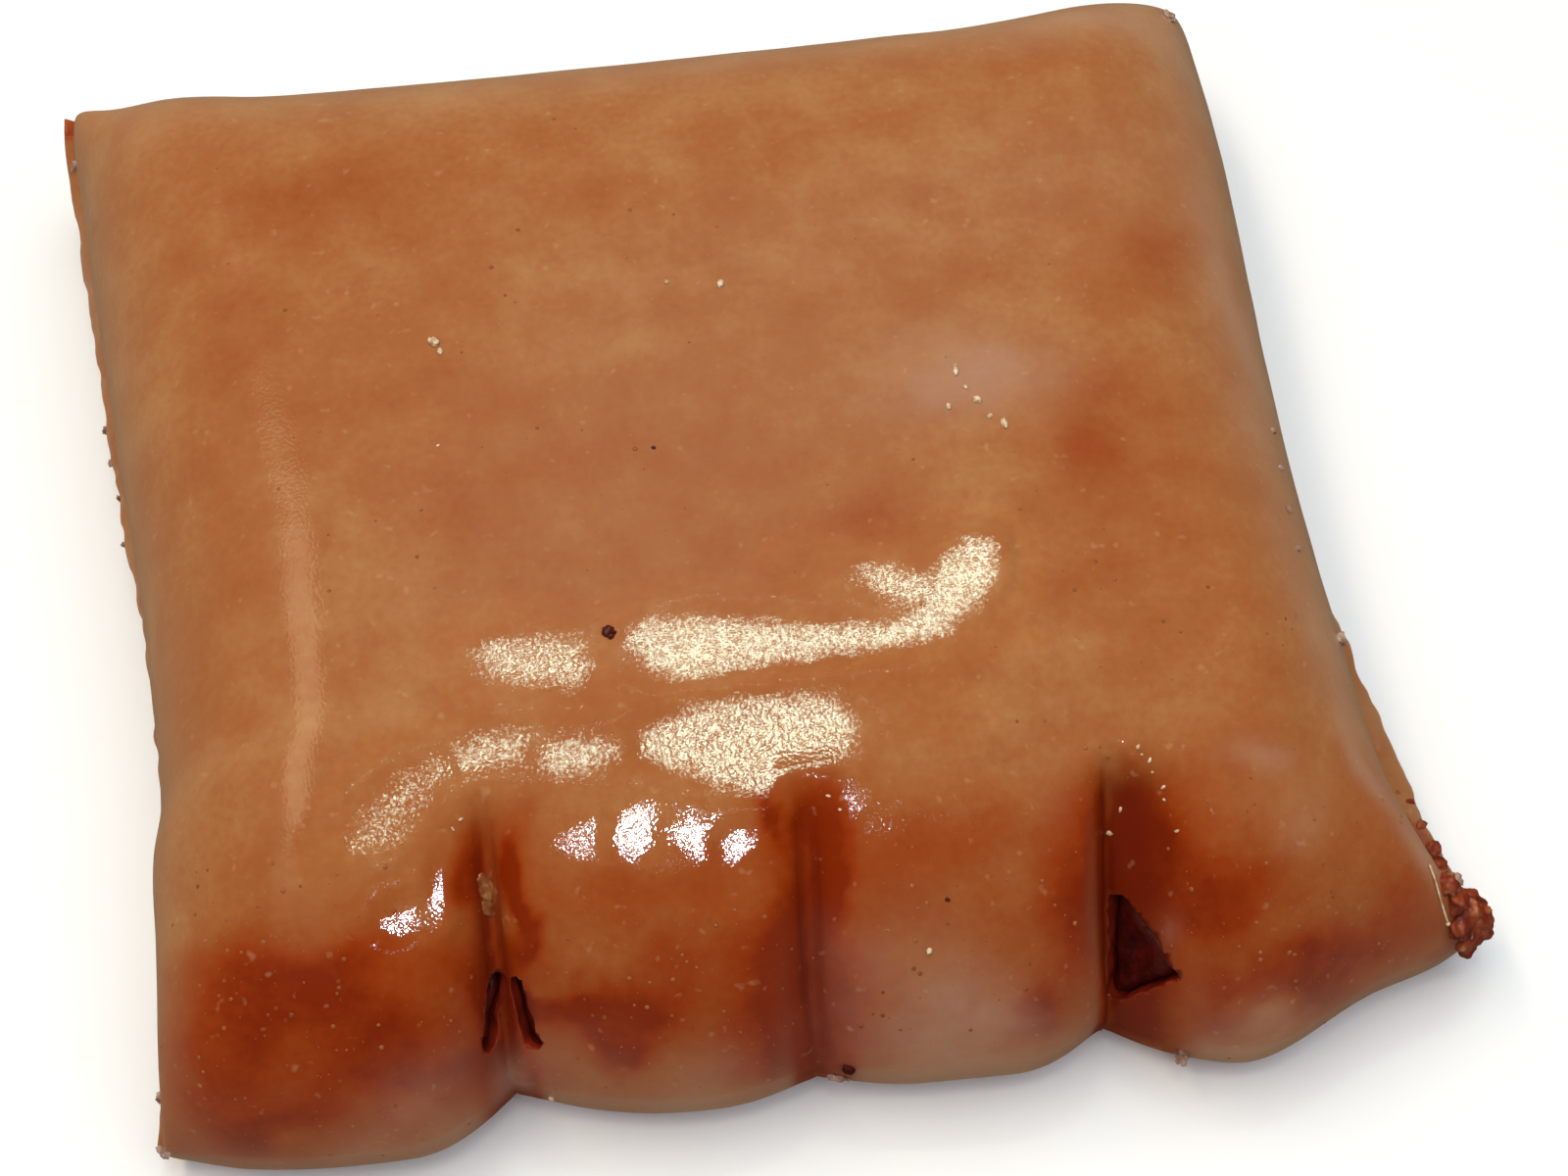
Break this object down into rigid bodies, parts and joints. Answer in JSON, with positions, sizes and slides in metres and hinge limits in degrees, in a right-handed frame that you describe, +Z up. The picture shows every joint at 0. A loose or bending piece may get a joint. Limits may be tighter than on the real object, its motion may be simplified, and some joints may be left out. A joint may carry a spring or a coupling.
{
  "type": "bear claw pastry",
  "caption": "Square glazed raised-dough bear claw pastry with a pinched seam along its sides and back, cut toes along the rounded front and dark filling showing in the cuts.",
  "frame": {"origin": "middle of the footprint on the surface that the pastry rests on", "axes": "+X along the toes, to the right seen from the toes; +Y from the toes to the back; +Z up"},
  "size_m": [0.1154, 0.1134, 0.0308],
  "materials": {
    "dough": null,
    "filling": null
  },
  "bodies": {
    "root": {"dough": "dough", "filling": "filling"}
  },
  "joints": []
}
